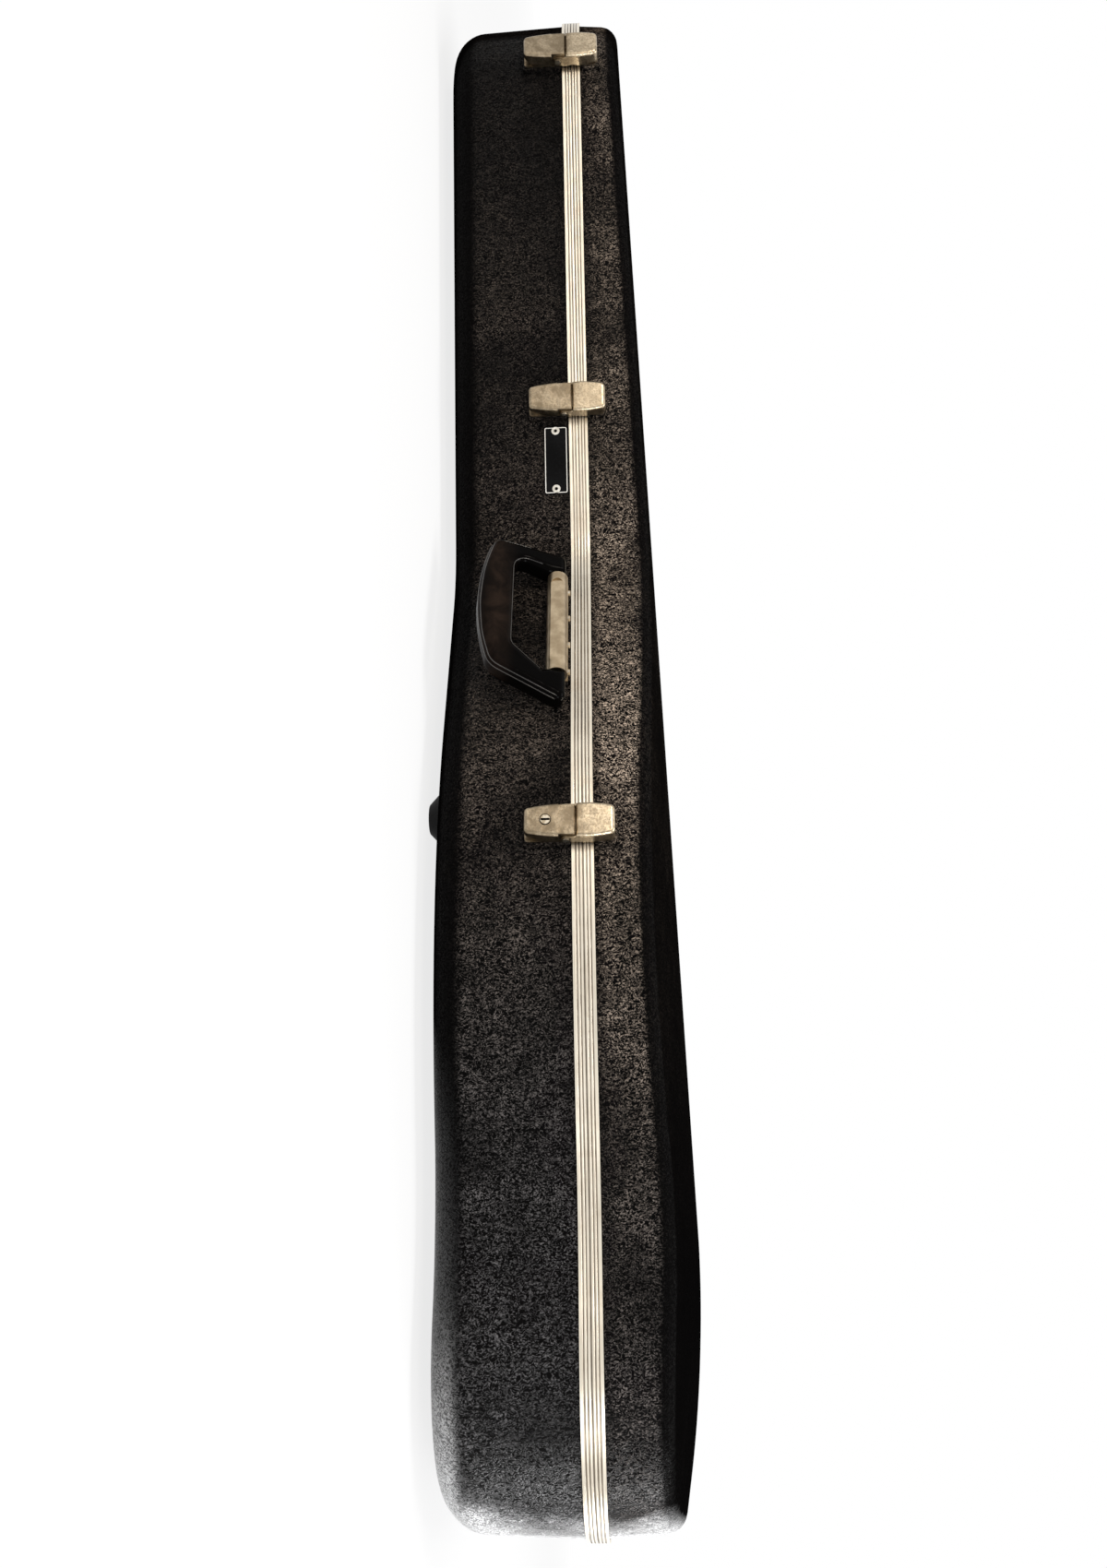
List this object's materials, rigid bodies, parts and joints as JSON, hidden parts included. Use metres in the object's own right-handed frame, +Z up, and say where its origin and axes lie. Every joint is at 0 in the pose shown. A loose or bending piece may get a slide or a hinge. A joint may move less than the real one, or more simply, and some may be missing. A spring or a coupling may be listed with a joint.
{
  "type": "guitar case",
  "caption": "Hard guitar case: moulded base and hinged lid meet in a ribbed metal band, with draw catches, a key lock and a folding handle.",
  "frame": {"origin": "middle of the case's footprint, on the ground it lies on", "axes": "+X towards the body end, +Z up from the base to the lid, the handle side faces -Y"},
  "size_m": [1.1079, 0.4582, 0.1705],
  "materials": {
    "grained_shell": "leather-grained, semi-gloss",
    "ribbed_band": "satin, lightly tarnished",
    "foam": "closed-cell foam",
    "plush": "short pile plush",
    "catch_metal": "aged nickel plate, pitted",
    "rivet_metal": "satin nickel",
    "lock_metal": "polished nickel",
    "grip": "glossy",
    "bracket_metal": "satin nickel",
    "label": "black with a thin light border, bare",
    "foot_rubber": "matte",
    "hinge_metal": "satin nickel"
  },
  "bodies": {
    "base": {"base_shell": "grained_shell", "base_trim": "ribbed_band", "base_foam": "foam", "base_lining": "plush", "neck_cradle": "plush", "compartment_wall": "plush", "front_foot": "foot_rubber", "spine_foot": "foot_rubber", "rear_front_foot": "foot_rubber", "rear_spine_foot": "foot_rubber", "head_foot": "foot_rubber", "foot_screws": "rivet_metal", "handle_bracket": "bracket_metal", "bracket_rivets": "rivet_metal", "label_plate": "label", "label_rivets": "rivet_metal", "base_hinge_rivets": "rivet_metal", "head_catch_plate": "catch_metal", "head_lever_pin": "rivet_metal", "head_plate_rivets": "rivet_metal", "middle_catch_plate": "catch_metal", "middle_lever_pin": "rivet_metal", "middle_plate_rivets": "rivet_metal", "lower_catch_plate": "catch_metal", "lower_lever_pin": "rivet_metal", "lower_plate_rivets": "rivet_metal", "upper_hinge_base_leaf": "hinge_metal", "upper_hinge_pin": "rivet_metal", "lower_hinge_base_leaf": "hinge_metal", "lower_hinge_pin": "rivet_metal"},
    "lid": {"lid_shell": "grained_shell", "lid_trim": "ribbed_band", "lid_foam": "foam", "lid_lining": "plush", "lid_hinge_rivets": "rivet_metal", "head_strike": "catch_metal", "head_strike_rivets": "rivet_metal", "middle_strike": "catch_metal", "middle_strike_rivets": "rivet_metal", "lower_strike": "catch_metal", "lower_strike_rivets": "rivet_metal", "upper_hinge_lid_leaf": "hinge_metal", "lower_hinge_lid_leaf": "hinge_metal"},
    "head_lever": {"head_lever": "catch_metal"},
    "head_claw": {"head_claw": "catch_metal", "head_claw_rivets": "rivet_metal"},
    "middle_lever": {"middle_lever": "catch_metal"},
    "middle_claw": {"middle_claw": "catch_metal", "middle_claw_rivets": "rivet_metal"},
    "lower_lever": {"lower_lever": "catch_metal"},
    "lower_claw": {"lower_claw": "catch_metal", "lower_claw_rivets": "rivet_metal"},
    "lock": {"lock_plug": "lock_metal"},
    "handle": {"handle": "grip"}
  },
  "joints": [
    {"name": "head_lever_turn", "type": "hinge", "parent": "base", "child": "head_lever", "pos_m": [-0.4837, -0.1082, 0.0946], "axis": [-0.9877, 0.1564, 0], "range_deg": [0, 80]},
    {"name": "head_claw_turn", "type": "hinge", "parent": "head_lever", "child": "head_claw", "pos_m": [-0.48351, -0.10701, 0.0904], "axis": [-0.9877, 0.1564, 0], "range_deg": [-88, 0]},
    {"name": "middle_lever_turn", "type": "hinge", "parent": "base", "child": "middle_lever", "pos_m": [-0.20943, -0.10475, 0.0946], "axis": [-0.9998, -0.0175, 0], "range_deg": [0, 80]},
    {"name": "middle_claw_turn", "type": "hinge", "parent": "middle_lever", "child": "middle_claw", "pos_m": [-0.20945, -0.10355, 0.0904], "axis": [-0.9998, -0.0175, 0], "range_deg": [-88, 0]},
    {"name": "lower_lever_turn", "type": "hinge", "parent": "base", "child": "lower_lever", "pos_m": [0.10782, -0.20845, 0.0946], "axis": [-0.9593, 0.2823, 0], "range_deg": [0, 80]},
    {"name": "lower_claw_turn", "type": "hinge", "parent": "lower_lever", "child": "lower_claw", "pos_m": [0.10816, -0.20729, 0.0904], "axis": [-0.9593, 0.2823, 0], "range_deg": [-88, 0]},
    {"name": "lock_turn", "type": "hinge", "parent": "lower_lever", "child": "lock", "pos_m": [0.10641, -0.21324, 0.0784], "axis": [-0.2823, -0.9593, 0], "range_deg": [0, 90]},
    {"name": "handle_turn", "type": "hinge", "parent": "base", "child": "handle", "pos_m": [-0.03299, -0.1409, 0.0844], "axis": [-0.866, 0.5, 0], "range_deg": [0, 130]},
    {"name": "lid_turn", "type": "hinge", "parent": "base", "child": "lid", "pos_m": [0.41297, 0.22437, 0.1], "axis": [-0.9986, -0.0527, 0], "range_deg": [0, 105]}
  ],
  "couplings": [
    {"joint": "head_claw_turn", "follows": "head_lever_turn", "ratio": -1.1},
    {"joint": "middle_claw_turn", "follows": "middle_lever_turn", "ratio": -1.1},
    {"joint": "lower_claw_turn", "follows": "lower_lever_turn", "ratio": -1.1}
  ]
}
